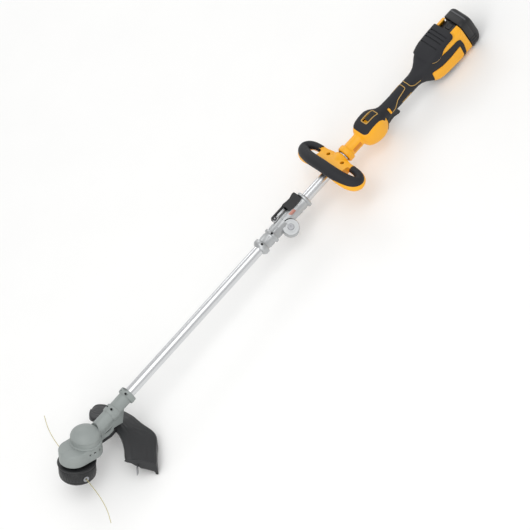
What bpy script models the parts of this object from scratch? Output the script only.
"""Folding cordless string trimmer.

All sizes below are in millimetres and turn into metres when a piece is finished.  The design
frame has +X along the shaft towards the cutting head, +Y to the user's left and +Z up, with its
origin on the shaft axis at the fold hinge.  The whole trimmer then lies on the ground.
"""
import math

import bmesh
import bpy
from mathutils import Matrix, Vector

MM = 0.001
GAP = 0.3

# Shaft
TUBE_R = 14.3
TUBE_WALL = 1.6
SEAT_R = TUBE_R + GAP

# How the trimmer lies: the shaft slopes until the head and the battery both touch the ground
LIE_ANGLE = -2.595
LIE_AT = (-83.38, -17.44, 90.13)

# Fold hinge: its axis leans, so that the folded shaft passes under the loop handle
FOLD_LEAN = 30.0
FOLD_OFFSET = 25.0
KNUCKLE_R = 23.0
KNUCKLE_HALF = 14.0
FOLD_PIN_R = 5.0
LEVER_X = 11.0
LEVER_P = -23.0

# Cutting head: the spool axis leans back from the shaft's own vertical
HEAD_LEAN = 26.0
SPOOL_X = 844.0
SPOOL_Z = -25.0
MOTOR_X = -35.1
GEAR_TEETH = 42
PINION_TEETH = 12
TOOTH_MODULE = 1.3
GEAR_LOW = 15.0
GEAR_HIGH = 23.0
EYELET_ANGLE = 78.0
EYELET_Z = -30.0
LINE_R = 1.0

# Guard, in polar places about the spool axis
GUARD_WALL = 3.0
GUARD_START = 132.0
GUARD_END = 217.0
GUARD_INNER = 127.0
GUARD_OUTER = 200.0
GUARD_CREST = 44.0
GUARD_CORNER = (157.0, 17.0, 10.0)
GUARD_FAR_DROOP = 0.2
BLADE_TURN = 130.0

# Rear housing
SHELL_WALL = 2.6
TOWER_HALF = 23.0
TOWER_ROOM = 0.7

# Trigger, buttons and battery, as places along and above the shaft
TRIGGER_X = -389.0
TRIGGER_Z = -21.0
TRIGGER_PIN_R = 2.0
TRIGGER_HALF = 6.5
SWITCH_X = -417.0
CELL_R = 9.2
CELL_PITCH = 18.2
CELL_X = -715.0
CELL_LOW = -36.0

# Loop handle
BAR_R = 15.5
CORE_R = 8.5
ARM_R = 9.5
CLAMP_SCREW_X = -218.0
CLAMP_SCREW_Y = 28.0
CLAMP_SCREW_R = 2.5

# Cables and springs
CABLE_R = 3.0
TRIGGER_SPRING_R = 3.0
BUMP_SPRING_R = 9.0
LEVER_PIN_R = 2.4
NECK_SCREW_R = 2.0
CASING_R = 41.0
BEARING_SHAFT_R = 5.0

for old in list(bpy.data.objects):
    bpy.data.objects.remove(old, do_unlink=True)


# ---------------------------------------------------------------- materials

def look(name, colour, roughness, metallic=0.0):
    made = bpy.data.materials.new(name)
    made.use_nodes = True
    shader = made.node_tree.nodes["Principled BSDF"]
    shader.inputs["Base Color"].default_value = (*colour, 1.0)
    shader.inputs["Roughness"].default_value = roughness
    shader.inputs["Metallic"].default_value = metallic
    return made


YELLOW = look("yellow_nylon", (0.91, 0.43, 0.013), 0.45)
BLACK = look("black_nylon", (0.022, 0.022, 0.024), 0.5)
RUBBER = look("charcoal_overmould", (0.032, 0.033, 0.038), 0.7)
GREY = look("grey_nylon", (0.32, 0.34, 0.33), 0.5)
TUBE_METAL = look("anodised_tube", (0.62, 0.63, 0.65), 0.3, 1.0)
CASTING = look("cast_aluminium", (0.55, 0.56, 0.57), 0.45, 1.0)
STEEL = look("steel", (0.45, 0.45, 0.46), 0.3, 1.0)
COPPER = look("motor_copper", (0.55, 0.25, 0.1), 0.4, 1.0)
LINE = look("nylon_line", (0.48, 0.42, 0.2), 0.4)
BOARD = look("potted_electronics", (0.03, 0.05, 0.04), 0.5)


# ---------------------------------------------------------------- frames

def empty(name, matrix, parent=None):
    made = bpy.data.objects.new(name, None)
    bpy.context.collection.objects.link(made)
    made.parent = parent
    placed = matrix.copy()
    placed.translation = matrix.translation * MM
    made.matrix_local = placed
    return made


def axis_frame(x, y, z, turn=Matrix()):
    return Matrix.Translation((x, y, z)) @ turn


SHAFT = Matrix()
HINGE = Matrix.Rotation(math.radians(-FOLD_LEAN), 4, "X")
HEAD = axis_frame(SPOOL_X, 0.0, SPOOL_Z, Matrix.Rotation(math.radians(-HEAD_LEAN), 4, "Y"))
FOLD = HINGE @ axis_frame(0.0, FOLD_OFFSET, 0.0)
LEVER = HINGE @ axis_frame(LEVER_X, LEVER_P, 0.0)
TRIGGER = axis_frame(TRIGGER_X, 0.0, TRIGGER_Z)
LOCK_OFF = axis_frame(-413.0, 17.0, 3.0)
SELECTOR = axis_frame(-365.0, 0.0, 28.0)
BATTERY = axis_frame(-720.0, 0.0, -5.0)
RELEASE = axis_frame(-690.0, 0.0, 38.0)
GAUGE = axis_frame(-740.0, 12.0, -12.0)
LOOP = axis_frame(-217.0, 0.0, 0.0)
MOTOR = HEAD @ axis_frame(MOTOR_X, 0.0, 0.0)

lying = Matrix.Translation(LIE_AT) @ Matrix.Rotation(math.radians(LIE_ANGLE), 4, "Y")
trimmer = empty("trimmer", lying)
frames = {}
for frame_name, frame_matrix in (
        ("rear_half", SHAFT), ("head_axis", HEAD), ("fold_axis", FOLD), ("lever_axis", LEVER),
        ("trigger_axis", TRIGGER), ("lock_off_axis", LOCK_OFF), ("selector_axis", SELECTOR),
        ("battery_axis", BATTERY), ("release_axis", RELEASE), ("gauge_axis", GAUGE),
        ("loop_axis", LOOP), ("motor_axis", MOTOR)):
    frames[frame_name] = (frame_matrix, empty(frame_name, frame_matrix, trimmer))


# ---------------------------------------------------------------- building pieces

def finish(name, bm, material, frame="rear_half", made_in=SHAFT, smooth=35.0):
    """Turn a bmesh drawn in made_in into a named piece that sits on one of the frames."""
    matrix, parent = frames[frame]
    bm.transform(matrix.inverted() @ made_in)
    bmesh.ops.scale(bm, vec=(MM, MM, MM), verts=bm.verts)
    mesh = bpy.data.meshes.new(name)
    bm.to_mesh(mesh)
    bm.free()
    mesh.materials.append(material)
    mesh.shade_smooth()
    mesh.set_sharp_from_angle(angle=math.radians(smooth))
    made = bpy.data.objects.new(name, mesh)
    bpy.context.collection.objects.link(made)
    made.parent = parent
    return made


def combine(piece, other, operation, solver="EXACT"):
    """Cut, join or intersect with another object, which becomes a hidden guide."""
    step = piece.modifiers.new(operation.lower(), "BOOLEAN")
    step.operation = operation
    step.solver = solver
    step.object = other
    other.hide_render = True
    other.display_type = "WIRE"


def turned(profile, segments=20, along="Z", hollow=True):
    """Spin a profile of (radius, height) about an axis; a hollow one is a closed outline."""
    bm = bmesh.new()
    points = [bm.verts.new((radius, 0.0, height)) for radius, height in profile]
    edges = [bm.edges.new(pair) for pair in zip(points, points[1:])]
    if hollow:
        edges.append(bm.edges.new((points[-1], points[0])))
    bmesh.ops.spin(bm, geom=points + edges, cent=(0, 0, 0), axis=(0, 0, 1), angle=math.tau,
                   steps=segments, use_merge=True)
    bmesh.ops.remove_doubles(bm, verts=bm.verts, dist=0.001)
    bmesh.ops.recalc_face_normals(bm, faces=bm.faces)
    if along == "X":
        bm.transform(Matrix.Rotation(math.radians(90), 4, "Y"))
    if along == "Y":
        bm.transform(Matrix.Rotation(math.radians(-90), 4, "X"))
    return bm


def moved(bm, x, y, z):
    bmesh.ops.translate(bm, vec=(x, y, z), verts=bm.verts)
    return bm


def rod(radius, low, high, segments=20, along="Z"):
    return turned([(0, low), (radius, low), (radius, high), (0, high)], segments, along, False)


def ring(outer, inner, low, high, segments=20, along="Z"):
    return turned([(inner, low), (outer, low), (outer, high), (inner, high)], segments, along)


def block(x, y, z, bevel=0.0):
    """A box from three (low, high) pairs, with its edges rounded by bevel."""
    bm = bmesh.new()
    bmesh.ops.create_cube(bm, size=1.0)
    size = Vector((x[1] - x[0], y[1] - y[0], z[1] - z[0]))
    bmesh.ops.scale(bm, vec=size, verts=bm.verts)
    bmesh.ops.translate(bm, vec=((x[0] + x[1]) / 2, (y[0] + y[1]) / 2, (z[0] + z[1]) / 2),
                        verts=bm.verts)
    if bevel:
        bmesh.ops.bevel(bm, geom=list(bm.edges), offset=bevel, segments=2, profile=0.5,
                        affect="EDGES", material=-1)
    return bm


def plate(outline, low, high, along="Z"):
    """Extrude a flat outline; along Y the outline is (x, z)."""
    bm = bmesh.new()
    if along == "Z":
        corners = [bm.verts.new((x, y, low)) for x, y in outline]
        step = (0, 0, high - low)
    else:
        corners = [bm.verts.new((x, low, z)) for x, z in outline]
        step = (0, high - low, 0)
    face = bm.faces.new(corners)
    grown = bmesh.ops.extrude_face_region(bm, geom=[face])
    top = [item for item in grown["geom"] if isinstance(item, bmesh.types.BMVert)]
    bmesh.ops.translate(bm, vec=step, verts=top)
    bmesh.ops.recalc_face_normals(bm, faces=bm.faces)
    return bm


def loft(loops, closed=True, capped=True):
    """Join loops of points in order; a closed loop runs round, and its ends may be capped."""
    bm = bmesh.new()
    rows = [[bm.verts.new(point) for point in loop] for loop in loops]
    count = len(rows[0])
    for near, far in zip(rows, rows[1:]):
        for index in range(count if closed else count - 1):
            after = (index + 1) % count
            bm.faces.new((near[index], near[after], far[after], far[index]))
    if closed and capped:
        bm.faces.new(rows[0])
        bm.faces.new(rows[-1])
    bmesh.ops.recalc_face_normals(bm, faces=bm.faces)
    return bm


def sweep(path, radii, sides=12, bore=None, span=None):
    """Rings round a path of points, or round the stretch of it between two of its points."""
    path = [Vector(point) for point in path]
    first_ring, last_ring = span or (0, len(path) - 1)
    loops = []
    inner = []
    for index in range(first_ring, last_ring + 1):
        point = path[index]
        ahead = path[min(index + 1, len(path) - 1)] - path[max(index - 1, 0)]
        ahead.normalize()
        side = ahead.cross(Vector((0, 0, 1))).normalized()
        up = side.cross(ahead).normalized()
        for rings, radius in ((loops, radii[index]), (inner, bore)):
            if radius is not None:
                rings.append([point + side * (radius * math.cos(turn)) + up * (
                    radius * math.sin(turn)) for turn in (
                        math.tau * number / sides for number in range(sides))])
    if bore is None:
        return loft(loops)
    bm = loft(loops + inner[::-1] + loops[:1], capped=False)
    bmesh.ops.remove_doubles(bm, verts=bm.verts, dist=0.001)
    bmesh.ops.recalc_face_normals(bm, faces=bm.faces)
    return bm


def wire(name, points, radius, material, frame, made_in=SHAFT, parts=2):
    """A cord or a spring: a round section along a run of points."""
    matrix, parent = frames[frame]
    into = matrix.inverted() @ made_in
    curve = bpy.data.curves.new(name, "CURVE")
    curve.dimensions = "3D"
    curve.bevel_depth = radius * MM
    curve.bevel_resolution = parts
    curve.use_fill_caps = True
    run = curve.splines.new("POLY")
    run.points.add(len(points) - 1)
    for spot, point in zip(run.points, points):
        spot.co = (*(into @ Vector(point) * MM), 1.0)
    curve.materials.append(material)
    made = bpy.data.objects.new(name, curve)
    bpy.context.collection.objects.link(made)
    made.parent = parent
    return made


def smooth_run(knots, steps):
    """Points on a smooth curve through the knots."""
    knots = [Vector(knot) for knot in knots]
    knots = [knots[0] * 2 - knots[1], *knots, knots[-1] * 2 - knots[-2]]
    run = []
    for first, start, end, last in zip(knots, knots[1:], knots[2:], knots[3:]):
        for step in range(steps):
            t = step / steps
            run.append(0.5 * (2 * start + (end - first) * t
                              + (2 * first - 5 * start + 4 * end - last) * t ** 2
                              + (3 * start - first - 3 * end + last) * t ** 3))
    return [*run, knots[-2]]


# ---------------------------------------------------------------- rear housing

# Places along the shaft: x, half width, top, bottom and how square the section is
HOUSING = (
    (-243.0, 19.0, 19.0, -19.0, 2.0),
    (-247.0, 23.5, 23.5, -23.5, 2.0),
    (-258.0, 23.5, 23.5, -23.5, 2.0),
    (-262.0, 18.5, 18.5, -18.5, 2.0),
    (-303.0, 18.5, 18.5, -18.5, 2.0),
    (-308.0, 25.0, 21.0, -25.0, 2.6),
    (-316.0, 31.0, 26.0, -32.0, 3.2),
    (-330.0, 35.0, 30.0, -37.0, 3.6),
    (-352.0, 36.5, 31.5, -40.0, 3.8),
    (-372.0, 34.5, 30.0, -38.0, 3.6),
    (-384.0, 29.0, 24.5, -32.0, 3.0),
    (-396.0, 20.0, 18.0, -23.0, 2.5),
    (-410.0, 16.5, 17.0, -22.5, 2.3),
    (-440.0, 16.0, 16.5, -22.5, 2.3),
    (-444.0, 14.0, 14.5, -20.5, 2.3),
    (-528.0, 14.0, 14.5, -20.5, 2.3),
    (-544.0, 20.0, 15.0, -27.0, 2.6),
    (-548.0, 24.5, 20.5, -34.0, 2.7),
    (-562.0, 34.0, 31.0, -46.0, 3.2),
    (-578.0, 38.5, 38.5, -50.0, 4.2),
    (-604.0, 39.5, 44.0, -50.0, 5.0),
    (-660.0, 40.0, 46.0, -52.0, 5.5),
    (-700.0, 40.0, 46.0, -55.0, 5.5),
    (-700.2, 5.0, 5.0, -5.0, 5.5),
)


def girth(half_width, top, bottom, power, turn, grow=0.0):
    """A point on a rounded section, at an angle up from the +Y side."""
    across = math.cos(turn)
    up = math.sin(turn)
    middle = (top + bottom) / 2
    half_height = (top - bottom) / 2 + grow
    y = (half_width + grow) * abs(across) ** (2 / power)
    z = middle + half_height * math.copysign(abs(up) ** (2 / power), up)
    return y, z


def half_loops(stations, side, low=-90.0, high=90.0, count=9, grow=0.0):
    loops = []
    for x, half_width, top, bottom, power in stations:
        turns = (math.radians(high + (low - high) * step / (count - 1)) for step in range(count))
        pairs = [girth(half_width, top, bottom, power, turn, grow) for turn in turns]
        loops.append([(x, side * max(y, 0.15), z) for y, z in pairs])
    return loops


def shell(name, loops, wall, material, frame="rear_half", made_in=SHAFT, outward=(0, 0, 0)):
    """A sheet through the loops, thickened on its inner side."""
    bm = loft(loops, closed=False)
    centre = Vector(outward)
    bm.faces.ensure_lookup_table()
    middle = bm.faces[len(bm.faces) // 2]
    spot = middle.calc_center_median()
    away = Vector((0, spot.y - centre.y, spot.z - centre.z))
    if middle.normal.dot(away) < 0:
        bmesh.ops.reverse_faces(bm, faces=bm.faces)
    made = finish(name, bm, material, frame, made_in)
    thicken = made.modifiers.new("wall", "SOLIDIFY")
    thicken.thickness = wall * MM
    thicken.offset = -1.0
    thicken.use_even_offset = True
    return made


tower_way = finish("tower_way_guide", block((-730, -672), (-TOWER_HALF - TOWER_ROOM,
                                                         TOWER_HALF + TOWER_ROOM), (-38, 90)), BLACK)
trigger_way = finish("trigger_way_guide", block((-439, -380), (-8, 8), (-60, -7)), BLACK)
selector_way = finish("selector_way_guide", block((-385.3, -340.7), (-10.2, 10.2), (23.4, 60)),
                      BLACK)
lock_off_way = finish("lock_off_way_guide", block((-416.5, -409.5), (8, 40), (-6.5, 12.5)),
                      BLACK)
for side_name, side in (("left", 1), ("right", -1)):
    half = shell(f"rear_housing_{side_name}", half_loops(HOUSING, side), SHELL_WALL, YELLOW)
    beyond = finish(f"beyond_{side_name}_guide",
                    block((-800, -200), sorted((-60 * side, 0.15 * side)), (-90, 90)), BLACK)
    for way in (beyond, tower_way, trigger_way, selector_way):
        combine(half, way, "DIFFERENCE", "MANIFOLD")
    if side > 0:
        combine(half, lock_off_way, "DIFFERENCE", "MANIFOLD")


def full_loops(stations, count, grow=0.0):
    loops = []
    for x, *section in stations:
        turns = [math.tau * step / count for step in range(count)]
        pairs = [(girth(*section, turn, grow), turn) for turn in turns]
        loops.append([(x, math.copysign(y, math.cos(turn)), z) for (y, z), turn in pairs])
    return loops


SLEEVE = tuple(row for row in HOUSING if -529 < row[0] < -443)
sleeve_outer = full_loops(SLEEVE, 20, 2.2)
sleeve_inner = full_loops(SLEEVE, 20, GAP)
sleeve = loft(sleeve_outer + sleeve_inner[::-1] + sleeve_outer[:1], capped=False)
bmesh.ops.remove_doubles(sleeve, verts=sleeve.verts, dist=0.001)
bmesh.ops.recalc_face_normals(sleeve, faces=sleeve.faces)
finish("grip_overmould", sleeve, RUBBER)

HOOD = ((-566.0, 34.5, 32.5, -46.0, 3.4), *(row for row in HOUSING if -661 < row[0] < -577),
        (-667.0, 39.0, 45.0, -52.0, 5.5))
HOOD_OVER = 4.4
hood_loops = []
for x, *section in HOOD:
    turns = [math.radians(28 + 124 * step / 9) for step in range(10)]
    pairs = [(girth(*section, turn, HOOD_OVER), turn) for turn in turns]
    hood_loops.append([(x, math.copysign(y, math.cos(turn)), z) for (y, z), turn in pairs])
shell("ribbed_hood", hood_loops, 3.0, RUBBER)

finish("battery_receiver", block((-671.5, -664.0), (-31, 31), (-42, 33), 1.5), BLACK)
finish("controller_module", block((-378, -322), (-24, 24), (-24, 16), 2.0), BOARD)
finish("trigger_switch", block((-432, -399), (-7, 7), (-8, 8), 1.0), BLACK)
finish("upper_cable_guide_ring", ring(11.5, 4.5, -300, -292, 20, "X"), BLACK)
wire("upper_cable", [(-318 + 50 * step, 0, 0) for step in range(7)], CABLE_R, BLACK, "rear_half")
finish("upper_tube", ring(TUBE_R, TUBE_R - TUBE_WALL, -300, -22, 24, "X"), TUBE_METAL)

# Trigger, with its free end to the rear, its pin and its return spring
paddle = plate([(-392, -17), (-386, -22), (-388, -30), (-396, -36), (-408, -33), (-420, -33),
                (-432, -37), (-438, -35), (-437, -28), (-420, -24), (-400, -17)], -TRIGGER_HALF,
               TRIGGER_HALF, "Y")
paddle_piece = finish("trigger", paddle, BLACK, "trigger_axis")
pin_way = finish("trigger_pin_guide", moved(rod(TRIGGER_PIN_R + GAP, -15, 15, 16, "Y"),
                                               TRIGGER_X, 0, TRIGGER_Z), BLACK)
combine(paddle_piece, pin_way, "DIFFERENCE")
finish("trigger_pin", moved(rod(TRIGGER_PIN_R, -10, 10, 16, "Y"), TRIGGER_X, 0, TRIGGER_Z), STEEL)


def coil(radius, x, top, pitch, steps):
    """Points of a coil spring, eight to a turn, running down from its top."""
    points = []
    for step in range(steps):
        turn = math.tau * step / 8
        points.append((x + radius * math.cos(turn), radius * math.sin(turn), top - pitch * step))
    return points


wire("trigger_spring", coil(TRIGGER_SPRING_R, SWITCH_X, -9.0, 0.4, 21), 0.5, STEEL, "rear_half")
finish("lock_off_button", block((-416, -410), (11, 21), (-6, 12), 1.0), YELLOW, "lock_off_axis")
finish("speed_selector", block((-380, -350), (-8.5, 8.5), (25, 31.5), 1.2), BLACK,
       "selector_axis")

# Battery pack, which slides up out of the tower way
pack_profile = ((-703.0, 36.0, 43.0, -55.0, 6.0), (-704.5, 38.0, 45.0, -57.5, 6.0),
                (-722.0, 38.0, 45.0, -57.5, 6.0), (-733.0, 37.0, 43.5, -48.0, 6.0),
                (-739.0, 34.0, 38.0, -34.0, 6.0), (-741.0, 30.0, 30.0, -24.0, 5.0))
pack = finish("battery_case", loft(full_loops(pack_profile, 28)), BLACK, "battery_axis")
cell_hollow = finish("cell_hollow_guide", block((-735, -695), (-33, 33), (-46, 36)), BLACK)
combine(pack, cell_hollow, "DIFFERENCE")
gauge_way = finish("gauge_way_guide", block((-750, -730), (6, 18), (-16, -8)), BLACK)
combine(pack, gauge_way, "DIFFERENCE")
tower = finish("battery_tower", block((-702.4, -673), (-TOWER_HALF, TOWER_HALF), (-36, 37), 2.0),
               BLACK, "battery_axis")
release_way = finish("release_way_guide", block((-699, -679), (-9, 9), (26, 60)), BLACK)
combine(tower, release_way, "DIFFERENCE")
cells = finish("battery_cells", moved(rod(CELL_R, -26, 26, 16, "Y"), CELL_X, 0, CELL_LOW), GREY,
               "battery_axis")
for number in range(1, 4):
    height = CELL_LOW + CELL_PITCH * number
    extra = finish(f"cell_guide_{number}", moved(rod(CELL_R, -26, 26, 16, "Y"), CELL_X, 0, height),
                   GREY, "battery_axis")
    combine(cells, extra, "UNION")
finish("battery_release_button", block((-698.5, -679.5), (-8.5, 8.5), (30, 39), 1.0), BLACK,
       "release_axis")
finish("charge_gauge_button", block((-742, -735.5), (6.5, 17.5), (-15.5, -8.5), 0.6), BLACK,
       "gauge_axis")

# ---------------------------------------------------------------- loop handle

LOOP_HALF = (
    (-176.0, 0.0, 43.0), (-176.0, 30.0, 41.0), (-177.0, 60.0, 35.0), (-180.0, 84.0, 27.0),
    (-186.0, 103.0, 18.5), (-198.0, 112.0, 13.0), (-210.0, 105.0, 10.0), (-216.0, 90.0, 9.0),
    (-219.0, 60.0, 8.0), (-221.0, 24.0, 6.0))
right_side = [(x, -y, z) for x, y, z in LOOP_HALF[:0:-1]]
loop_path = smooth_run(right_side + list(LOOP_HALF), 1)
grip_count = 5
first = len(loop_path) // 2 - grip_count
grip_span = (first, first + 2 * grip_count)
finish("loop_grip", sweep(loop_path, [BAR_R] * len(loop_path), 12, CORE_R + 1.0, grip_span),
       RUBBER, "loop_axis")
core_radii = []
for index in range(len(loop_path)):
    inside = first <= index <= first + 2 * grip_count
    core_radii.append(CORE_R if inside else ARM_R)
frame_loop = finish("loop_frame", sweep(loop_path, core_radii), YELLOW, "loop_axis")
boss = finish("boss_guide", turned([(0, -237), (19, -237), (22.5, -233), (22.5, -203), (19, -199),
                                    (0, -199)], 24, "X", False), YELLOW)
wings = finish("wings_guide", block((-236, -200), (-38, 38), (-1, 13), 3.0), YELLOW)
combine(frame_loop, boss, "UNION", "MANIFOLD")
combine(frame_loop, wings, "UNION", "MANIFOLD")
seat = finish("tube_seat_guide", rod(SEAT_R, -260, -180, 24, "X"), YELLOW)
below = finish("below_guide", block((-245, -190), (-45, 45), (-60, 0.2)), YELLOW)
combine(frame_loop, below, "DIFFERENCE", "MANIFOLD")
combine(frame_loop, seat, "DIFFERENCE", "MANIFOLD")
clamp = finish("loop_clamp", block((-235, -201), (-36, 36), (-12, -0.2), 2.0), YELLOW, "loop_axis")
lower_boss = finish("lower_boss_guide", rod(22.0, -235, -201, 24, "X"), YELLOW)
above = finish("above_guide", block((-245, -190), (-45, 45), (-0.2, 60)), YELLOW)
combine(clamp, lower_boss, "UNION")
combine(clamp, above, "DIFFERENCE")
combine(clamp, seat, "DIFFERENCE")
for side_name, side in (("left", 1), ("right", -1)):
    way = finish(f"clamp_screw_way_{side_name}", moved(rod(CLAMP_SCREW_R + 0.4, -10, 40, 16),
                                                        CLAMP_SCREW_X, CLAMP_SCREW_Y * side, 0), BLACK)
    head_way = finish(f"clamp_head_way_{side_name}", moved(rod(5.2, 8.8, 40, 16), CLAMP_SCREW_X,
                                                              CLAMP_SCREW_Y * side, 0), BLACK)
    combine(frame_loop, way, "DIFFERENCE", "MANIFOLD")
    combine(frame_loop, head_way, "DIFFERENCE", "MANIFOLD")
    combine(clamp, way, "DIFFERENCE")
    finish(f"loop_screw_{side_name}",
           moved(turned([(0, -9), (CLAMP_SCREW_R, -9), (CLAMP_SCREW_R, 9.2), (4.8, 9.2), (4.8, 12.5),
                         (0, 12.5)], 16, "Z", False), CLAMP_SCREW_X, CLAMP_SCREW_Y * side, 0),
           STEEL, "loop_axis")

# ---------------------------------------------------------------- fold hinge and shaft

def hinge_casting(name, ahead, frame):
    """One half of the hinge: a bored sleeve with its collar, and its half of the knuckle."""
    if ahead > 0:
        outside = [(18, 0.15), (18, 45), (22.5, 46), (22.5, 52), (18, 53), (18, 81), (23.5, 83),
                   (23.5, 97), (19, 100)]
        inside = [(SEAT_R, 100), (SEAT_R, 13), (7, 13), (7, 0.15)]
        lobe_span, room_span = (0.15, KNUCKLE_HALF), (-40.0, 0.15)
    else:
        outside = [(19, -88), (23.5, -86), (23.5, -79), (18, -77.5), (18, -0.15)]
        inside = [(7, -0.15), (7, -13), (SEAT_R, -13), (SEAT_R, -88)]
        lobe_span, room_span = (-KNUCKLE_HALF, -0.15), (-0.15, 40.0)
    body = finish(name, turned(outside + inside, 24, "X"), CASTING, frame, HINGE)
    room = finish(f"{name}_room_guide", moved(rod(KNUCKLE_R + 0.6, *room_span, 24),
                                              0, FOLD_OFFSET, 0), CASTING, made_in=HINGE)
    combine(body, room, "DIFFERENCE", "MANIFOLD")
    lobe = finish(f"{name}_lobe_guide", moved(ring(KNUCKLE_R, FOLD_PIN_R + GAP, *lobe_span, 24),
                                              0, FOLD_OFFSET, 0), CASTING, made_in=HINGE)
    cable_way = finish(f"{name}_cable_guide", rod(13, -30, 30, 16, "X"), CASTING, made_in=HINGE)
    combine(lobe, cable_way, "DIFFERENCE", "MANIFOLD")
    combine(body, lobe, "UNION", "MANIFOLD")
    return body


rear_casting = hinge_casting("hinge_rear_casting", -1, "rear_half")
front_casting = hinge_casting("hinge_front_casting", 1, "fold_axis")
keeper = finish("keeper_guide", block((5.5, 16.5), (-23, -12), (-8.5, 8.5)), CASTING,
                made_in=HINGE)
keeper_end = finish("keeper_end_guide", moved(rod(5.5, -8.5, 8.5), LEVER_X, LEVER_P, 0), CASTING,
                    made_in=HINGE)
combine(front_casting, keeper, "UNION", "MANIFOLD")
combine(front_casting, keeper_end, "UNION", "MANIFOLD")
lever_hole = finish("lever_hole_guide", moved(rod(2.8, -30, 30, 16), LEVER_X, LEVER_P, 0), CASTING,
                    made_in=HINGE)
combine(front_casting, lever_hole, "DIFFERENCE", "MANIFOLD")
finish("fold_pin", moved(turned([(0, -18), (9, -18), (9, -14.4), (FOLD_PIN_R, -14.4),
                                 (FOLD_PIN_R, 14.4), (9, 14.4), (9, 17), (0, 17)], 20, "Z", False),
                         0, FOLD_OFFSET, 0), STEEL, made_in=HINGE)
finish("lever_pin", moved(rod(LEVER_PIN_R, -13.5, 13.5, 16), LEVER_X, LEVER_P, 0), STEEL,
       "fold_axis", HINGE)

# Latch lever: a bent channel that clasps the hinge and lies along the rear half
lever = finish("latch_lever", block((-75, 17), (-32, -29), (-12.6, 12.6), 1.2), BLACK, "lever_axis",
               HINGE)
grip_plate = finish("lever_grip_guide", block((-76, -30), (-30.5, -25.5), (-23.5, 23.5), 2.0), BLACK,
                    made_in=HINGE)
combine(lever, grip_plate, "UNION")
for side_name, side in (("left", 1), ("right", -1)):
    wall = finish(f"lever_wall_guide_{side_name}",
                  block((-75, -31), (-28, -4), sorted((20.0 * side, 23.2 * side)), 1.0), BLACK,
                  made_in=HINGE)
    combine(lever, wall, "UNION")
    ear = finish(f"lever_ear_guide_{side_name}",
                 block((6, 16), (-30.5, -19.5), sorted((9.0 * side, 12.4 * side)), 1.0), BLACK,
                 made_in=HINGE)
    combine(lever, ear, "UNION")
lever_bore = finish("lever_bore_guide", moved(rod(2.8, -30, 30, 16), LEVER_X, LEVER_P, 0), BLACK,
                    made_in=HINGE)
combine(lever, lever_bore, "DIFFERENCE")

finish("lower_tube", ring(TUBE_R, TUBE_R - TUBE_WALL, 22, 700, 24, "X"), TUBE_METAL, "fold_axis")
wire("lower_cable", [(18 + 119 * step, 0, 0) for step in range(7)], CABLE_R, BLACK, "fold_axis")

# ---------------------------------------------------------------- cutting head

ON_HEAD = "fold_axis"


def stadium(front_x, front_r, back_x, back_r, steps=12):
    outline = []
    for step in range(steps + 1):
        turn = math.radians(-88 + 176 * step / steps)
        outline.append((front_x + front_r * math.cos(turn), front_r * math.sin(turn)))
    for step in range(steps + 1):
        turn = math.radians(92 + 176 * step / steps)
        outline.append((back_x + back_r * math.cos(turn), back_r * math.sin(turn)))
    return outline


def head_housing(name, side):
    """One half of the head casing: gear case, motor barrel and the neck that grips the tube."""
    case = plate(stadium(7, 39, -38, 38), 7, 46)
    top = [edge for edge in case.edges if all(vert.co.z > 45 for vert in edge.verts)]
    bmesh.ops.bevel(case, geom=top, offset=6, segments=2, profile=0.5, affect="EDGES", material=-1)
    body = finish(name, case, GREY, ON_HEAD, HEAD)
    barrel = finish(f"{name}_barrel_guide", moved(rod(CASING_R, 20, 73, 28), MOTOR_X, 0, 0), GREY,
                    made_in=HEAD)
    combine(body, barrel, "UNION", "MANIFOLD")
    neck = finish(f"{name}_neck_guide", turned(
        [(0, 619), (24, 619), (24, 636), (18.5, 637), (18.5, 676), (22, 677), (22, 700), (18.5, 701),
         (20, 790), (0, 790)], 24, "X", False), GREY)
    combine(body, neck, "UNION", "MANIFOLD")
    web_outline = [(-62, 28), (-104, 33), (-120, 41), (-121, 48.5), (-152, 50), (-160, 92),
                   (-100, 80)]
    web = finish(f"{name}_web_guide", plate(web_outline, -13, 13, "Y"), GREY, made_in=HEAD)
    combine(body, web, "UNION", "MANIFOLD")
    hollow = finish(f"{name}_hollow_guide", plate(stadium(7, 36, -38, 35), 10, 43), GREY,
                    made_in=HEAD)
    combine(body, hollow, "DIFFERENCE", "MANIFOLD")
    well = finish(f"{name}_well_guide", moved(rod(CASING_R - 4, 30, 90, 28), MOTOR_X, 0, 0), GREY,
                  made_in=HEAD)
    combine(body, well, "DIFFERENCE", "MANIFOLD")
    cap_room = finish(f"{name}_cap_room_guide", moved(rod(CASING_R + 0.4, 73.1, 99, 24), MOTOR_X,
                                                       0, 0), GREY, made_in=HEAD)
    combine(body, cap_room, "DIFFERENCE", "MANIFOLD")
    for guide_name, guide in (
            ("seat", rod(SEAT_R, 600, 701, 24, "X")), ("way", rod(9.0, 690, 780, 20, "X"))):
        made = finish(f"{name}_{guide_name}_guide", guide, GREY)
        combine(body, made, "DIFFERENCE", "MANIFOLD")
    shaft_hole = finish(f"{name}_shaft_hole_guide", rod(12.3, -5, 20, 24), GREY, made_in=HEAD)
    combine(body, shaft_hole, "DIFFERENCE", "MANIFOLD")
    triangle = finish(f"{name}_triangle_guide", plate([(-82, 45), (-108, 46), (-122, 58)], -20, 20,
                                                      "Y"), GREY, made_in=HEAD)
    combine(body, triangle, "DIFFERENCE", "MANIFOLD")
    away = finish(f"{name}_away_guide", block((560, 940), (-90, 0.15) if side > 0 else (-0.15, 90),
                                              (-120, 120)), GREY)
    combine(body, away, "DIFFERENCE", "MANIFOLD")
    return body


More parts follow.
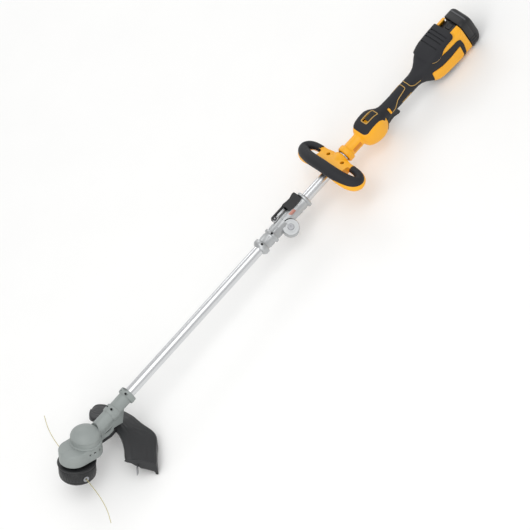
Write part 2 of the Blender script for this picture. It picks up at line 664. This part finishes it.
halves = [head_housing("head_housing_left", 1), head_housing("head_housing_right", -1)]
cover = [(0, 86), (15, 85.4), (28, 82.6), (37, 78), (41, 73.4), (37.4, 73.4), (33, 76.2), (0, 80.5)]
finish("motor_cover", moved(turned(cover, 28, "Z", False), MOTOR_X, 0, 0), GREY, ON_HEAD, HEAD)
for number, (x, z) in enumerate(((687, 19.3), (631, 19.8)), 1):
    hole = finish(f"neck_screw_guide_{number}", moved(rod(NECK_SCREW_R + GAP, -40, 40, 12, "Y"), x, 0, z),
                  GREY)
    for half in halves:
        combine(half, hole, "DIFFERENCE", "MANIFOLD")
    finish(f"neck_screw_{number}", moved(rod(NECK_SCREW_R, -9.5, 9.5, 12, "Y"), x, 0, z), STEEL,
           ON_HEAD)

stator = turned([(10, 46), (29.5, 46), (29.5, 62), (10, 62)], 24)
finish("motor_stator", moved(stator, MOTOR_X, 0, 0), COPPER, ON_HEAD, HEAD)


def toothed(teeth, low, high, clearance=0.35):
    """A spur gear with trapezoid teeth, the first of them centred on +X."""
    pitch_r = teeth * TOOTH_MODULE / 2
    outline = []
    for tooth in range(teeth):
        centre = math.tau * tooth / teeth
        for radius, lean in ((pitch_r - 1.25 * TOOTH_MODULE, -0.36), (pitch_r + 0.8 * TOOTH_MODULE,
                                                                     -0.11),
                             (pitch_r + 0.8 * TOOTH_MODULE, 0.11),
                             (pitch_r - 1.25 * TOOTH_MODULE, 0.36)):
            turn = centre + lean * math.tau / teeth * (1 - clearance / 3)
            outline.append((radius * math.cos(turn), radius * math.sin(turn)))
    return plate(outline, low, high)


gear = finish("spool_gear", toothed(GEAR_TEETH, GEAR_LOW, GEAR_HIGH), BLACK, "head_axis", HEAD)
gear_bore = finish("gear_bore_guide", rod(BEARING_SHAFT_R + GAP, 0, 40, 20), BLACK, made_in=HEAD)
combine(gear, gear_bore, "DIFFERENCE")
pinion = toothed(PINION_TEETH, GEAR_LOW, GEAR_HIGH)
bmesh.ops.rotate(pinion, cent=(0, 0, 0), matrix=Matrix.Rotation(math.pi / PINION_TEETH, 3, "Z"),
                 verts=pinion.verts)
rotor = finish("motor_rotor", moved(pinion, MOTOR_X, 0, 0), STEEL, "motor_axis", HEAD)
bell = finish("rotor_bell_guide", moved(turned(
    [(0, 20), (3.0, 20), (3.0, 64), (30.0, 64), (30.0, 44), (32.5, 44), (32.5, 67), (0, 67)], 24, "Z",
    False), MOTOR_X, 0, 0), STEEL, made_in=HEAD)
combine(rotor, bell, "UNION")

finish("spool_shaft", rod(BEARING_SHAFT_R, -37.8, 36), STEEL, "head_axis", HEAD)
finish("spool_bearing", ring(12.0, BEARING_SHAFT_R + GAP, 7.3, 13.5, 24), STEEL, ON_HEAD,
       HEAD)
spool = finish("spool_housing", turned(
    [(5.3, -1), (50.5, -1), (52.5, -2.5), (52.5, -5), (50, -8), (49.5, -40), (47, -40), (47.2, -7),
     (16, -6.5), (5.3, -6.5)], 26), BLACK, "head_axis", HEAD)
finish("spool_cap", turned(
    [(15, -50), (36, -53), (44, -50.5), (49, -44), (49.5, -40.3), (46.5, -40.3), (45.5, -43.5),
     (42, -47.5), (35, -50), (15, -47)], 26), BLACK, "head_axis", HEAD)
finish("line_reel", turned([(6, -8), (43, -8), (43, -10), (18, -10), (18, -36), (43, -36), (43, -38),
                            (6, -38)], 28), BLACK, "head_axis", HEAD)
finish("wound_line", turned([(18.4, -10.4), (38, -10.4), (40, -14), (40, -32), (38, -35.6),
                             (18.4, -35.6)], 28), LINE, "head_axis", HEAD)
for side_name, turn in (("left", EYELET_ANGLE), ("right", EYELET_ANGLE + 180)):
    out = Matrix.Rotation(math.radians(turn), 4, "Z") @ Matrix.Rotation(math.radians(90), 4, "Y")
    place = HEAD @ Matrix.Translation((0, 0, EYELET_Z)) @ out
    hole = finish(f"eyelet_way_{side_name}", rod(5.3, 30, 60, 16), BLACK, made_in=place)
    combine(spool, hole, "DIFFERENCE")
    finish(f"line_eyelet_{side_name}", ring(5.0, 2.0, 45.0, 52.5, 16), STEEL, "head_axis", place)
    across = math.radians(turn)
    knots = []
    for radius, lag in ((52.9, 0.0), (100, 0.7), (150, 1.9), (200, 3.9), (250, 6.5)):
        place_turn = across - math.radians(lag)
        knots.append((radius * math.cos(place_turn), radius * math.sin(place_turn), EYELET_Z))
    wire(f"line_end_{side_name}", smooth_run(knots, 4), LINE_R, LINE, "head_axis", HEAD)
knob = finish("bump_knob", turned([(0, -44.3), (14, -44.3), (14, -53), (13, -58.5), (9, -62),
                                   (0, -62)], 24, "Z", False), BLACK, "head_axis", HEAD)
wire("bump_spring", coil(BUMP_SPRING_R, 0.0, -39.4, 0.2125, 17), 0.6, STEEL, "head_axis", HEAD)

# ---------------------------------------------------------------- guard

guard_loops = []
GUARD_STEPS = 19
for step in range(GUARD_STEPS + 1):
    turn = GUARD_START + (GUARD_END - GUARD_START) * step / GUARD_STEPS
    away = abs(turn - 180)
    corner_turn, corner_reach, corner_width = GUARD_CORNER
    corner = corner_reach * math.exp(-((turn - corner_turn) / corner_width) ** 2)
    outer_r = GUARD_OUTER + 15 * (away / 45) ** 2 + corner
    droop = 0.30 * away + 0.009 * away * away
    crest = GUARD_CREST - droop * (1.0 if turn < 180 else GUARD_FAR_DROOP)
    edge = crest - 3 - 0.10 * away
    skirt = max(20 - 0.60 * away - 0.014 * away * away, -36)
    section = [(GUARD_INNER, crest - 9), (GUARD_INNER + 1, crest), (GUARD_INNER + 18, crest + 3),
               ((GUARD_INNER + outer_r) / 2, (crest + edge) / 2 + 3), (outer_r - 8, edge),
               (outer_r, edge - 7), (outer_r + 1, skirt)]
    ray = math.radians(turn)
    guard_loops.append([(radius * math.cos(ray), radius * math.sin(ray), z)
                        for radius, z in section])
guard_bm = loft(guard_loops, closed=False)
guard_bm.faces.ensure_lookup_table()
if guard_bm.faces[len(guard_bm.faces) // 2].normal.z < 0:
    bmesh.ops.reverse_faces(guard_bm, faces=guard_bm.faces)
guard = finish("guard", guard_bm, BLACK, ON_HEAD, HEAD)
guard_wall = guard.modifiers.new("wall", "SOLIDIFY")
guard_wall.thickness = GUARD_WALL * MM
guard_wall.offset = -1.0
guard_wall.use_even_offset = True
end_outline = [(128, 4), (131, 8.9), (145, 11), (172, 8), (206, 1), (214, -6), (217, -36), (212, -36),
               (206, -26), (198, -24), (185, -20), (172, -18), (166, -13), (156, -9), (146, -2),
               (136, 0)]
end_wall = finish("guard_end_wall_guide", plate(end_outline, -1.6, 1.6, "Y"), BLACK,
                  made_in=HEAD @ Matrix.Rotation(math.radians(GUARD_START), 4, "Z"))
combine(guard, end_wall, "UNION", "MANIFOLD")
blade_turn = Matrix.Rotation(math.radians(BLADE_TURN), 4, "Z")
finish("cutoff_blade", block((162, 164.4), (-9, 3.7), (-32, -5)), STEEL, ON_HEAD, HEAD @ blade_turn)
